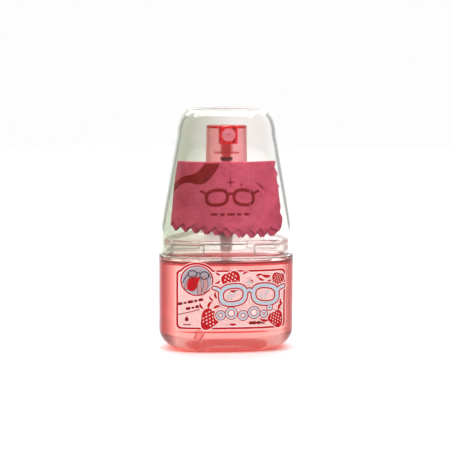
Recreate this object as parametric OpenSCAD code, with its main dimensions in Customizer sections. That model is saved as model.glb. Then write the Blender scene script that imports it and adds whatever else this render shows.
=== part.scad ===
// Pocket lens-cleaning spray: an oval bottle of pink fluid, a finger pump that screws
// onto its neck, and a clear overcap that also stores a folded microfibre cloth.
// Millimetres. +Z is up, the front (label and nozzle side) faces -Y, and the origin is
// the centre of the face that the bottle stands on.

/* [Bottle] */
// Width of the bottle body
bottle_w = 50; // [46:0.5:56]
// Depth of the bottle body
bottle_d = 28; // [28:0.5:32]
// Height of the ledge that the overcap stands on
ledge_z = 35.2; // [34.5:0.1:35.5]
// Squareness of the oval section: 2 is an ellipse, more is squarer
squareness = 2.8; // [2.4:0.1:3.4]
// Thickness of the blown bottle wall
bottle_wall = 1.1; // [0.9:0.05:1.3]
// Sideways reach of the rounding between the side walls and the base
base_round_x = 9.2; // [7:0.1:9.4]
// Front-to-back reach of the same rounding
base_round_y = 4; // [3:0.1:5]
// Height at which that rounding has become the straight wall
base_round_z = 7.6; // [6:0.1:8]
// Depth of the shallow panel that the label lies in
label_recess = 0.2; // [0.2:0.05:0.4]
// Step from the body in to the spigot that carries the overcap
spigot_step = 1.9; // [1.8:0.05:2.1]
// Height of the fluid's surface above the table
fluid_z = 33; // [26:0.1:33.2]

/* [Neck and screw thread] */
// Outer diameter of the neck below the thread crests
neck_od = 13; // [13:0.1:13.2]
// Bore of the neck
neck_id = 10.6; // [10.4:0.1:10.8]
// Height of the neck's rim
neck_top = 55.5; // [55.4:0.1:55.5]
// Rise of the thread in one turn
thread_pitch = 3; // [2.8:0.1:3]
// Turns of thread on the neck
thread_turns = 1.25; // [1:0.05:1.4]

/* [Pump] */
// Outer diameter of the screw collar
collar_od = 17.2; // [17:0.1:17.4]
// Outer diameter of the pump's barrel
barrel_od = 8.4; // [8.2:0.1:8.6]
// Bore of the pump's barrel
barrel_id = 6.6; // [6.5:0.05:6.7]
// Outer diameter of the stem
stem_od = 3.4; // [3.2:0.05:3.5]
// Downward travel of the finger button
stroke = 4.5; // [4:0.1:4.5]
// Outer diameter of the dip tube
tube_od = 3; // [2.8:0.1:3.1]
// Bore of the dip tube
tube_id = 1.8; // [1.4:0.1:2]
// Wire diameter of the return spring
spring_wire = 0.45; // [0.35:0.05:0.45]
// Turns of the return spring
spring_turns = 4.5; // [4:0.5:4.5]
// Diameter of the inlet valve's ball
ball_d = 2.5; // [2.4:0.05:2.5]

/* [Button] */
// Diameter of the button at its top
button_top_d = 14.9; // [14.6:0.1:15]
// Diameter of the button at the hem of its skirt
button_hem_d = 15.5; // [15.2:0.1:15.6]
// Height of the button's top face
button_top_z = 83; // [82:0.1:83]
// Height of the skirt's hem
button_hem_z = 64.2; // [64.1:0.1:64.5]
// Height of the nozzle's axis
nozzle_z = 79.6; // [79.4:0.1:79.8]
// Diameter of the nozzle insert
nozzle_d = 4.8; // [4.6:0.1:4.9]

/* [Overcap] */
// Thickness of the overcap's side walls
cap_wall = 1.2; // [1:0.05:1.25]
// Thickness of the overcap's top
cap_top_wall = 1.5; // [1.2:0.1:1.6]
// Height of the overcap's top face
cap_top_z = 89.8; // [89.5:0.1:91]
// Height at which the straight band turns into the tapered walls
cap_bend_z = 43.7; // [43:0.1:45]
// Sideways taper of the walls, as run over rise
cap_taper_x = 0.184; // [0.16:0.001:0.19]
// Front-to-back taper of the walls, as run over rise
cap_taper_y = 0.085; // [0.07:0.005:0.09]

/* [Cloth] */
// Thickness of the folded cloth
cloth_t = 1.7; // [1.4:0.1:1.8]
// Height of its lower edge
cloth_low_z = 42.8; // [42.4:0.1:44]
// Height of its upper fold
cloth_high_z = 69.8; // [68:0.1:70]

/* [Hidden] */
$fn = 64;

ring_points = 72;           // points round each oval ring of a lofted shell
arc_steps = 8;              // rings in each rounded stretch
half_w = bottle_w / 2;
half_d = bottle_d / 2;
fit_gap = 0.05;             // gap between faces that rest on each other
label_w = 40.4;             // label panel, without the round tab at its top left
label_h = 22.1;
label_x = 0.8;
label_low_z = 9.2;
tab_x = -12;
tab_z = 27.1;
tab_r = 6.9;
cap_rim_z = ledge_z + fit_gap;
rim_inset = 0.1;            // the overcap is this much slimmer than the body
pi = 3.14159265;

// Pump stack, from the neck's rim upwards
gasket_t = 0.8;
flange_t = 1;
cap_flange_t = 0.8;
flange_z = neck_top + gasket_t;
barrel_top = flange_z + flange_t;
cap_flange_top = barrel_top + cap_flange_t;
collar_low_z = 45.2;
collar_plate_t = 1.05;
collar_top_z = cap_flange_top + fit_gap + collar_plate_t;
collar_bore_r = 7.5;
tower_r = 4.4;
tower_top = 64.8;
stem_top = 76;
stem_r = stem_od / 2;
spring_low = 46.2;          // step in the barrel that the spring stands on
spring_high = 53.2;
spring_r = 2.6;
head_t = 0.6;               // spring seat on the lower stem
stem_low = spring_high + head_t;
piston_low = stem_low + 0.3;
piston_high = barrel_top - 0.1;
stop_z = piston_high - 0.55; // foot of the sleeve that the piston's hub comes up against
sleeve_r = 2.25;

// Dip tube: straight out of the barrel, one bend, then straight to the corner of the base
tube_r = tube_od / 2;
tube_top = 42.1;
nipple_low = 36.4;
bend_z = 36;
bend_r = 50;
bend_angle = 27;
tail = 10.6;
pump_lift = thread_pitch * thread_turns; // how far the pump rises while the collar lets go
slot_gap = 0.15;

// ---------------------------------------------------------------- shared shapes

// Points of a squared oval with half widths a and b
function oval(a, b, n = squareness, count = ring_points) = [for (i = [0:count - 1])
    let (c = cos(360 * i / count), s = sin(360 * i / count))
    [a * sign(c) * pow(abs(c), 2 / n), b * sign(s) * pow(abs(s), 2 / n)]];

// The same oval as a ring of points in space
function ring(z, a, b, n = squareness) = [for (p = oval(a, b, n)) [p[0], p[1], z]];

function mix(a, b, t) = a + (b - a) * t;

// A closed solid through a list of rings of equal length. Its two ends are closed flat, or where
// the rings are long and thin, by strips across from one long side to the other.
module loft(rings, thin = false) {
    n = len(rings[0]);
    last = (len(rings) - 1) * n;
    sides = [for (k = [0:len(rings) - 2], i = [0:n - 1])
        let (a = k * n + i, b = k * n + (i + 1) % n, c = b + n, d = a + n)
        each [[a, d, c], [a, c, b]]];
    end = thin ? [for (j = [0:n / 2 - 2]) each [[j, j + 1, n - 2 - j], [j, n - 2 - j, n - 1 - j]]]
        : [[for (i = [0:n - 1]) i]];
    far_end = [for (face = end) [for (i = [len(face) - 1:-1:0]) last + face[i]]];
    polyhedron(points = [for (r = rings, p = r) p], faces = concat(sides, end, far_end));
}

// A screw ridge: a trapezoid section carried along a right-handed helix. It stands
// outwards from root_r when crest_r is larger, and inwards when it is smaller.
module ridge(root_r, crest_r, low_z, turns, root_w, crest_w) {
    steps = round(turns * 36);
    fade = 4;               // steps over which each end of the ridge rises from the wall
    section = function (k) let (
        grow = min(1, k / fade, (steps - k) / fade),
        crest = mix(root_r, crest_r, max(grow, 0.05)),
        z = low_z + thread_pitch * turns * k / steps,
        a = 360 * turns * k / steps)
        [for (p = [[root_r, -root_w / 2], [crest, -crest_w / 2], [crest, crest_w / 2], [root_r, root_w / 2]])
            [p[0] * cos(a), p[0] * sin(a), z + p[1]]];
    rings = [for (k = [0:steps]) section(k)];
    flip = crest_r > root_r;
    n = 4;
    last = steps * n;
    sides = [for (k = [0:steps - 1], i = [0:n - 1])
        let (a = k * n + i, b = k * n + (i + 1) % n, c = b + n, d = a + n)
        each flip ? [[a, b, c], [a, c, d]] : [[a, c, b], [a, d, c]]];
    ends = flip ? [[3, 2, 1, 0], [last, last + 1, last + 2, last + 3]]
        : [[0, 1, 2, 3], [last + 3, last + 2, last + 1, last]];
    polyhedron(points = [for (r = rings, p = r) p], faces = concat(sides, ends));
}

// A straight tube from z0 to z1
module tube(z0, z1, outer_r, inner_r) {
    difference() {
        translate([0, 0, z0]) cylinder(h = z1 - z0, r = outer_r);
        translate([0, 0, z0 - 1]) cylinder(h = z1 - z0 + 2, r = inner_r);
    }
}

// A band that follows the oval, between two insets from the body's own outline
module oval_band(z0, z1, outset, inset) {
    translate([0, 0, z0]) linear_extrude(z1 - z0) difference() {
        polygon(oval(half_w + outset, half_d + outset));
        polygon(oval(half_w - inset, half_d - inset));
    }
}

// ---------------------------------------------------------------- bottle

// Rings of the rounded stretch above the base, offset inwards by t
function base_rings(t, floor_z) = [for (k = [0:arc_steps]) let (u = 90 * k / arc_steps)
    ring(floor_z + (base_round_z - floor_z) * (1 - cos(u)),
        half_w - t - (base_round_x - t) * (1 - sin(u)),
        half_d - t - (base_round_y - t) * (1 - sin(u)))];

// Shoulder rings: t = 0 at the spigot, 1 at the neck
function shoulder_ring(t, a0, b0, z0, r1, z1) = ring(mix(z0, z1, 1 - pow(1 - t, 1.35)),
    mix(a0, r1, t), mix(b0, r1, t), mix(squareness, 2, t));

function reversed(list) = [for (i = [len(list) - 1:-1:0]) list[i]];

function bottle_outside() = concat(
    [ring(1.3, 4, 2.2), ring(1.1, 10, 5.4), ring(0.5, 14.6, 7.4)],
    base_rings(0, 0.25),
    [ring(base_round_z + 0.5, half_w, half_d),
        ring(base_round_z + 0.9, half_w, half_d - label_recess),
        ring(ledge_z - 1.1, half_w, half_d - label_recess),
        ring(ledge_z - 0.8, half_w, half_d),
        ring(ledge_z - 0.4, half_w, half_d),
        ring(ledge_z - 0.15, half_w - 0.15, half_d - 0.15),
        ring(ledge_z, half_w - 0.5, half_d - 0.5),
        ring(ledge_z, half_w - spigot_step, half_d - spigot_step),
        ring(40, half_w - spigot_step, half_d - spigot_step),
        ring(40.9, half_w - spigot_step - 0.3, half_d - spigot_step - 0.3),
        ring(41.4, half_w - spigot_step - 0.9, half_d - spigot_step - 0.9)],
    [for (k = [1:4]) shoulder_ring(k / 4, half_w - spigot_step - 0.9, half_d - spigot_step - 0.9,
        41.4, 7.2, 44.5)]);

function bottle_inside() = concat(
    [for (k = [4:-1:1]) shoulder_ring(k / 4, half_w - spigot_step - 1.9, half_d - spigot_step - 1.9,
        40.5, 5.9, 43.4)],
    [ring(40, half_w - spigot_step - 1.3, half_d - spigot_step - 1.3),
        ring(39.2, half_w - spigot_step - bottle_wall, half_d - spigot_step - bottle_wall),
        ring(ledge_z - 0.4, half_w - spigot_step - bottle_wall, half_d - spigot_step - bottle_wall),
        ring(ledge_z - 1.6, half_w - bottle_wall, half_d - bottle_wall - label_recess)],
    reversed(inside_base_rings()),
    [ring(1.65, 14.6, 7.2), ring(2.2, 10, 5.4), ring(2.4, 4, 2.2)]);

// The floor of the cavity, which the fluid's own base follows with a small gap
function inside_base_rings(gap = 0) = [
    for (k = [0:arc_steps]) let (u = 90 * k / arc_steps, t = bottle_wall + gap)
    ring(1.35 + gap + (base_round_z - 1.35) * (1 - cos(u)),
        half_w - t - (base_round_x - bottle_wall) * (1 - sin(u)),
        half_d - t - label_recess - (base_round_y - bottle_wall) * (1 - sin(u)))];

module grip_pad(side_x, side_y) {
    intersection() {
        oval_band(36.4, 40.1, -1.6, 2.4);
        translate([side_x > 0 ? 9.2 : -20.4, side_y > 0 ? 0 : -half_d, 36])
            cube([11.2, half_d, 5]);
    }
}

module bottle() {
    color("mistyrose", 0.4) union() {
        loft(concat(bottle_outside(), bottle_inside()));
        // standing ring
        linear_extrude(0.8) difference() {
            polygon(oval(17, 9.4));
            polygon(oval(15, 7.7));
        }
        tube(43.7, neck_top, neck_od / 2, neck_id / 2);
        ridge(neck_od / 2 - 0.2, 7.25, 47.6, thread_turns, 1.6, 0.6);
        for (x = [-1, 1], y = [-1, 1]) grip_pad(x, y);
    }
}

// ---------------------------------------------------------------- fluid

// Centre line of the dip tube in the XZ plane, with its sideways direction: s runs from
// 0 at the start of the bend to 1 at its end
function bend_point(s) = let (a = bend_angle * s)
    [-bend_r * (1 - cos(a)), bend_z - bend_r * sin(a), a];
function tail_end() = let (p = bend_point(1))
    [p[0] - tail * sin(bend_angle), p[1] - tail * cos(bend_angle), bend_angle];
function beside(p, off, up = 0) = [p[0] + off * cos(p[2]), p[1] + up - off * sin(p[2])];

// Room for the dip tube as the pump is screwed out: its path at rest and raised
module tube_slot() {
    off = tube_r + slot_gap;
    tail_x = tail_end()[0] - slot_gap * sin(bend_angle);
    tail_z = tail_end()[1] - slot_gap * cos(bend_angle);
    line = concat([for (k = [0:8]) bend_point(k / 8)], [[tail_x, tail_z, bend_angle]]);
    right = [for (p = line) beside(p, off)];
    left = [for (p = reversed(line)) beside(p, -off, pump_lift)];
    foot = beside(line[len(line) - 1], -off);
    rotate([90, 0, 0]) linear_extrude(2 * off, center = true)
        polygon(concat([[off, bend_z + 4]], right, [foot], left, [[-off, bend_z + 4]]));
}

module cleaning_fluid() {
    gap = fit_gap;
    a = half_w - bottle_wall - gap;
    b = half_d - bottle_wall - label_recess - gap;
    color("lightcoral", 0.6) difference() {
        loft(concat(
            [ring(2.4 + gap, 4, 2.2), ring(2.2 + gap, 10, 5.4), ring(1.65 + gap, 14.6, 7.2)],
            inside_base_rings(gap),
            [ring(fluid_z, a, b)]));
        tube_slot();
    }
}

// ---------------------------------------------------------------- label

module label_shape() {
    r = 1.6;
    union() {
        // rounded panel
        translate([label_x, label_low_z + label_h / 2]) union() {
            square([label_w - 2 * r, label_h], center = true);
            square([label_w, label_h - 2 * r], center = true);
            for (x = [-1, 1], z = [-1, 1])
                translate([x * (label_w / 2 - r), z * (label_h / 2 - r)]) circle(r = r);
        }
        // round tab
        translate([tab_x, tab_z]) circle(r = tab_r);
    }
}

module front_label() {
    front = half_d - label_recess;
    color("pink", 0.7) intersection() {
        translate([0, 0, 8]) linear_extrude(ledge_z - 8) difference() {
            polygon(oval(half_w + 0.14, front + 0.14));
            polygon(oval(half_w + 0.02, front + 0.02));
        }
        rotate([90, 0, 0]) linear_extrude(half_d + 1) label_shape();
    }
}

// ---------------------------------------------------------------- pump

module screw_collar() {
    color("white") union() {
        difference() {
            translate([0, 0, collar_low_z]) linear_extrude(collar_top_z - collar_low_z) union() {
                circle(r = collar_od / 2 - 0.2);
                for (i = [0:29]) rotate(12 * i) translate([collar_od / 2 - 0.3, 0]) circle(r = 0.3);
            }
            translate([0, 0, collar_low_z - 1])
                cylinder(h = cap_flange_top + fit_gap - collar_low_z + 1, r = collar_bore_r);
            translate([0, 0, collar_low_z]) cylinder(h = 20, r = tower_r + 0.3);
        }
        ridge(collar_bore_r + 0.2, 6.8, 46.5, 1, 1.5, 0.6);
    }
}

module neck_gasket() {
    color("gainsboro") tube(neck_top + 0.02, flange_z, 7, neck_id / 2);
}

module pump_housing() {
    r = barrel_od / 2;
    color("whitesmoke") difference() {
        rotate_extrude() polygon([[0, nipple_low], [2.1, nipple_low], [2.4, 42.4], [r, 45], [r, flange_z],
            [7, flange_z], [7, barrel_top], [0, barrel_top]]);
        // piston bore, ball chamber with its retaining lip, seat, inlet and tube socket
        rotate_extrude() polygon([[0, nipple_low - 1], [tube_r, nipple_low - 1],
            [tube_r, tube_top + 0.1], [0.8, tube_top + 0.1], [0.8, 43.2], [1.75, 44.3],
            [1.75, 45.95], [1.12, 45.95], [1.12, spring_low], [barrel_id / 2, spring_low],
            [barrel_id / 2, barrel_top + 1], [0, barrel_top + 1]]);
        // groove for the housing cap's rib
        translate([0, 0, barrel_top - 0.45]) tube(0, 1, 5.45, 4.55);
        // vent
        translate([0, 0, 52]) rotate([0, 90, 0]) cylinder(h = 6, r = 0.35, $fn = 24);
    }
}

module housing_cap() {
    color("white") difference() {
        union() {
            translate([0, 0, barrel_top]) cylinder(h = cap_flange_t, r = 6.6);
            translate([0, 0, barrel_top]) cylinder(h = tower_top - barrel_top - 0.4, r = tower_r);
            translate([0, 0, tower_top - 0.4]) cylinder(h = 0.4, r1 = tower_r, r2 = tower_r - 0.4);
            tube(barrel_top - 0.4, barrel_top + 0.1, 5.4, 4.6);
            // sleeve that guides the stem and stops the piston
            translate([0, 0, stop_z]) cylinder(h = 1, r = sleeve_r);
        }
        tube(barrel_top - 0.1, tower_top - 1.2, 3.5, sleeve_r);
        translate([0, 0, stop_z - 1]) cylinder(h = 20, r = stem_r + 0.05);
    }
}

// A round rod along the dip tube's centre line, from its foot up, longer by extra at each end
module tube_run(r, extra) {
    foot = tail_end();
    line = concat(
        [[foot[0] - extra * sin(bend_angle), foot[1] - extra * cos(bend_angle), bend_angle]],
        [for (k = [8:-1:0]) bend_point(k / 8)],
        [[0, tube_top + extra, 0]]);
    loft([for (p = line) [for (t = [0:12:348])
        [p[0] + r * cos(t) * cos(p[2]), r * sin(t), p[1] - r * cos(t) * sin(p[2])]]]);
}

module dip_tube() {
    color("white", 0.7) difference() {
        tube_run(tube_r, 0);
        tube_run(tube_id / 2, 1);
    }
}

module inlet_ball() {
    color("silver") translate([0, 0, 44.22]) sphere(d = ball_d);
}

module return_spring() {
    sides = 6;
    per_turn = 20;
    steps = per_turn * spring_turns;
    r = spring_wire / 2;
    low = spring_low + r + 0.02;
    high = spring_high - r - 0.02;
    rings = [for (k = [0:steps]) let (a = 360 * k / per_turn)
        [for (i = [0:sides - 1]) let (t = 360 * i / sides)
            [(spring_r + r * cos(t)) * cos(a), (spring_r + r * cos(t)) * sin(a),
                mix(low, high, k / steps) + r * sin(t)]]];
    color("silver") mirror([0, 1, 0]) loft(rings);
}

module piston() {
    r = barrel_id / 2 - 0.03;
    color("ivory") rotate_extrude() polygon([[stem_r, piston_low], [r, piston_low], [r, piston_low + 0.8],
        [r - 0.45, piston_low + 1.2], [r - 0.45, piston_high - 1.2], [r, piston_high - 0.8],
        [r, piston_high], [r - 0.6, piston_high], [2.2, piston_high - 0.6], [stem_r, piston_high - 0.6]]);
}

module main_stem() {
    color("dimgray") difference() {
        union() {
            translate([0, 0, stem_low]) cylinder(h = stem_top - stem_low, r = stem_r);
            translate([0, 0, 70]) cylinder(h = 1.2, r = 2.25);
        }
        translate([0, 0, stem_low - 1]) cylinder(h = stem_top - stem_low + 2, r = 0.8);
        // inlets just under the piston
        for (a = [0, 90]) translate([0, 0, stem_low + 0.1]) rotate([0, 90, a])
            cylinder(h = 8, r = 0.3, center = true, $fn = 24);
    }
}

module lower_stem() {
    color("ivory") union() {
        translate([0, 0, spring_low + stroke + 0.2])
            cylinder(h = spring_high - spring_low - stroke - 0.2, r = 1.9);
        translate([0, 0, spring_high]) cylinder(h = head_t, r = 2.95);
        // fluted plug in the foot of the main stem
        difference() {
            translate([0, 0, stem_low]) cylinder(h = 1.9, r = 0.78);
            for (a = [0:90:270]) rotate(a) translate([0.78, 0, stem_low + 0.001])
                cylinder(h = 3, r = 0.3, $fn = 24);
        }
    }
}

// ---------------------------------------------------------------- button

module button() {
    top_r = button_top_d / 2;
    hem_r = button_hem_d / 2;
    round_r = 0.8;
    wall = 1;
    block = 6.2;            // the solid block that holds the nozzle, in width and height
    color("hotpink", 0.8) difference() {
        union() {
            // skirted shell
            rotate_extrude() polygon(concat(
                [[0, button_top_z - 1.2], [top_r - wall, button_top_z - 1.2], [hem_r - wall, button_hem_z],
                    [hem_r, button_hem_z]],
                [for (k = [0:6]) let (u = 15 * k)
                    [top_r - round_r + round_r * cos(u), button_top_z - round_r + round_r * sin(u)]],
                [[0, button_top_z]]));
            // stem socket with the flange at its foot
            translate([0, 0, 72.6]) cylinder(h = button_top_z - 73.6, r = 2.3);
            translate([0, 0, 72.6]) cylinder(h = 0.5, r = 4.6);
            // nozzle block, kept inside the shell
            intersection() {
                translate([0, 0, 70]) cylinder(h = 12, r = top_r - 0.3);
                translate([-block / 2, -top_r, nozzle_z - block / 2]) cube([block, top_r - 1, block]);
            }
        }
        // stem socket, riser and the feed to the nozzle
        translate([0, 0, 71]) cylinder(h = stem_top + fit_gap - 71, r = stem_r + 0.03);
        translate([0, 0, stem_top - 1]) cylinder(h = 3, r = 0.8);
        translate([0, 0, nozzle_z - 1.75]) rotate([90, 0, 0]) cylinder(h = 4, r = 0.45, $fn = 24);
        // nozzle bore round its swirl post
        translate([0, -3.2, nozzle_z]) rotate([90, 0, 0]) difference() {
            cylinder(h = 6, r = nozzle_d / 2);
            translate([0, 0, -1]) cylinder(h = 4.2, r = 1.3);
        }
    }
}

module nozzle_insert() {
    face_y = button_top_d / 2 - 0.1;
    color("pink") translate([0, 0, nozzle_z]) rotate([90, 0, 0]) difference() {
        translate([0, 0, 4]) cylinder(h = face_y - 4, r = nozzle_d / 2 - 0.01);
        translate([0, 0, 3]) cylinder(h = 3.5, r = 1.55);
        translate([0, 0, 3]) cylinder(h = 6, r = 0.2, $fn = 24);
        translate([0, 0, face_y - 0.35]) cylinder(h = 1, r1 = 0.2, r2 = 1.15);
    }
}

// ---------------------------------------------------------------- overcap

cap_round_z = 79.4;         // where the rounding of the top begins
cap_round = 5.9;            // sideways reach of that rounding
cap_crown = 0.45;           // rise of the top face from its rounded edge to its middle

// Outline of the overcap at height z, inset by t: half width, half depth
function cap_half(z, t) = let (rise = cap_rise(z - cap_bend_z), band = min(z, cap_bend_z) - cap_rim_z)
    [half_w - rim_inset - t - band * 0.02 - rise * cap_taper_x,
        half_d - rim_inset - t - band * 0.02 - rise * cap_taper_y];

// Height climbed on the taper, eased over bend_soft either side of the bend
bend_soft = 2.8;
function cap_rise(d) = d < -bend_soft ? 0 : d > bend_soft ? d : pow(d + bend_soft, 2) / (4 * bend_soft);

function cap_ring(z, t) = let (h = cap_half(z, t)) ring(z, h[0], h[1]);

// Rings from the foot of the tapered walls over the rounded edge to the top
function cap_top_rings(t, top_z) = [
    for (k = [0:arc_steps]) let (u = 90 * k / arc_steps, h = cap_half(cap_round_z, t))
    ring(cap_round_z + (top_z - cap_crown - cap_round_z) * sin(u),
        h[0] - (cap_round - t) * (1 - cos(u)), h[1] - (cap_round - 1.4 - t) * (1 - cos(u)))];

function cap_side(t) = [for (z = [36.4, 39, 41, 42.4, 43.7, 45, 46.4, 50, 56, 62, 68, 74]) cap_ring(z, t)];

module overcap() {
    color("white", 0.3) loft(concat(
        [ring(cap_top_z - cap_top_wall, 3, 1.5), ring(cap_top_z - cap_top_wall - 0.2, 8, 3)],
        reversed(cap_top_rings(cap_wall, cap_top_z - cap_top_wall)),
        reversed(cap_side(cap_wall)),
        [cap_ring(cap_rim_z, cap_wall), cap_ring(cap_rim_z, 0.2), cap_ring(cap_rim_z + 0.25, 0)],
        cap_side(0),
        cap_top_rings(0, cap_top_z),
        [ring(cap_top_z - 0.2, 8, 3), ring(cap_top_z, 3, 1.5)]));
}

// ---------------------------------------------------------------- cloth

// A folded pad that stands behind the overcap's front wall and wraps a little round both its sides
module microfibre_cloth() {
    steps = 18;
    levels = 4;
    gap = 0.2;
    foot_span = [205, 325]; // where the pad starts and ends at its foot, as angles round the oval
    top_span = [192, 348];  // and the same at its top
    point = function (k, up, t) let (
        z = mix(cloth_low_z, cloth_high_z, up), h = cap_half(z, t),
        a = mix(mix(foot_span[0], top_span[0], up), mix(foot_span[1], top_span[1], up), k / steps),
        c = cos(a), s = sin(a))
        [h[0] * sign(c) * pow(abs(c), 2 / squareness), h[1] * sign(s) * pow(abs(s), 2 / squareness), z];
    side = function (k, t) [for (j = [0:levels]) point(k, j / levels, t)];
    color("palevioletred") loft([for (k = [0:steps])
        concat(side(k, cap_wall + gap + cloth_t), reversed(side(k, cap_wall + gap)))], thin = true);
}

bottle();
cleaning_fluid();
front_label();
screw_collar();
neck_gasket();
pump_housing();
housing_cap();
dip_tube();
inlet_ball();
return_spring();
piston();
main_stem();
lower_stem();
button();
nozzle_insert();
overcap();
microfibre_cloth();
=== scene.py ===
import math

import bpy
import numpy as np
from mathutils import Matrix, Vector
from mathutils.geometry import delaunay_2d_cdt


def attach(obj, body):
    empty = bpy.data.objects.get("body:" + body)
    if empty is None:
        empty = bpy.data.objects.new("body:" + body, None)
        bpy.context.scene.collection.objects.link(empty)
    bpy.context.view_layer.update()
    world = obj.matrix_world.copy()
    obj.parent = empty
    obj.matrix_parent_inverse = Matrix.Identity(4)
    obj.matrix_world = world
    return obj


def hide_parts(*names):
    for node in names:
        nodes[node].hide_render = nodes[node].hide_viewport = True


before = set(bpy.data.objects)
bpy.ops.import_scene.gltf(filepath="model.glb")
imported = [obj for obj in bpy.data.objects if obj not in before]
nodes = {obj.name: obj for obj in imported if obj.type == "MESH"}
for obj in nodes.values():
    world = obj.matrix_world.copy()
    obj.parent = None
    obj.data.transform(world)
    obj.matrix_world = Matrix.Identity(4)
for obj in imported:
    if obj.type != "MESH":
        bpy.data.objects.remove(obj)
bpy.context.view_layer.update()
MM = 0.001  # every shape below is worked out in millimetres

# ---- the object's own sizes
HALF_W, HALF_D, SQUARE = 25.0, 14.0, 2.8
WALL, RECESS, LEDGE = 1.1, 0.2, 35.2
SPIGOT = 1.9
BASE_X, BASE_Y, BASE_Z = 9.2, 4.0, 7.6
FLUID_TOP = 33.0
CAP_WALL, CAP_TOP_WALL, CAP_TOP = 1.2, 1.5, 89.8
CAP_RIM, CAP_BEND, CAP_SOFT = LEDGE + 0.05, 43.7, 2.8
CAP_ROUND_Z, CAP_ROUND, CAP_CROWN = 79.4, 5.9, 0.45
PAD_X, PAD_Z, PAD_LIFT = (9.2, 20.2), (36.5, 40.0), 0.4      # the four grip pads
NECK_BORE, NECK_R, NECK_TOP = 5.3, 6.5, 55.5


# ---- mesh helpers
def make(name, verts, faces, materials, body, face_material=None, sharp_deg=None):
    """A mesh in millimetres that rides on a body. Edges sharper than sharp_deg stay hard."""
    verts = np.asarray(verts, float)
    fans = np.array([(f[0], f[k], f[k + 1]) for f in faces for k in range(1, len(f) - 1)])
    a, b, c = verts[fans[:, 0]], verts[fans[:, 1]], verts[fans[:, 2]]
    if np.einsum("ij,ij->i", a, np.cross(b, c)).sum() < 0:
        faces = [f[::-1] for f in faces]    # the outside is where the normals point
    mesh = bpy.data.meshes.new(name)
    mesh.from_pydata((verts * MM).tolist(), [], [list(map(int, f)) for f in faces])
    mesh.validate()
    for m in materials if isinstance(materials, (list, tuple)) else [materials]:
        mesh.materials.append(m)
    if face_material is not None:
        mesh.polygons.foreach_set("material_index", np.asarray(face_material, np.int32))
    mesh.polygons.foreach_set("use_smooth", [True] * len(mesh.polygons))
    if sharp_deg is not None:
        mesh.set_sharp_from_angle(angle=math.radians(sharp_deg))
    mesh.update()
    obj = bpy.data.objects.new(name, mesh)
    bpy.context.scene.collection.objects.link(obj)
    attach(obj, body)
    return obj


def oval(a, b, n, t):
    """Points on a superellipse with half axes a and b and exponent n."""
    c, s = np.cos(t), np.sin(t)
    return a * np.sign(c) * np.abs(c) ** (2 / n), b * np.sign(s) * np.abs(s) ** (2 / n)


def even_angles(count):
    """Angles that step evenly along the body's outline."""
    t = np.linspace(0, 2 * np.pi, 40001)
    x, y = oval(HALF_W, HALF_D, SQUARE, t)
    s = np.concatenate([[0], np.cumsum(np.hypot(np.diff(x), np.diff(y)))])
    return np.interp(np.arange(count) * s[-1] / count, s, t)


def ring(z, a, b, t, n=SQUARE):
    """A level outline at height z."""
    x, y = oval(a, b, n, t)
    return np.stack([x, y, np.full_like(x, z)], 1)


def loft(rings):
    """Vertices and faces through rings of equal length, each end shut by a fan round its centre."""
    n = len(rings[0])
    i = np.arange(n)
    j = (i + 1) % n
    faces = []
    for k in range(len(rings) - 1):
        p, q = k * n, (k + 1) * n
        faces += np.stack([p + i, p + j, q + j, q + i], 1).tolist()
    verts = np.concatenate(rings + [rings[0].mean(0)[None], rings[-1].mean(0)[None]])
    first, last = len(verts) - 2, len(verts) - 1
    q = (len(rings) - 1) * n
    faces += np.stack([j, i, np.full(n, first)], 1).tolist()
    faces += np.stack([q + i, q + j, np.full(n, last)], 1).tolist()
    return verts, faces


def arc(cx, cy, rx, ry, a0, a1, steps):
    """Points along an elliptic arc between two angles in degrees."""
    angles = [math.radians(a) for a in np.linspace(a0, a1, steps)]
    return [(cx + rx * math.cos(a), cy + ry * math.sin(a)) for a in angles]


# ---- materials
def linear(r, g, b):
    """A display colour of 0 to 255 as a linear one."""
    def one(c):
        c /= 255
        return c / 12.92 if c <= 0.04045 else ((c + 0.055) / 1.055) ** 2.4

    return (one(r), one(g), one(b), 1.0)


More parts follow.
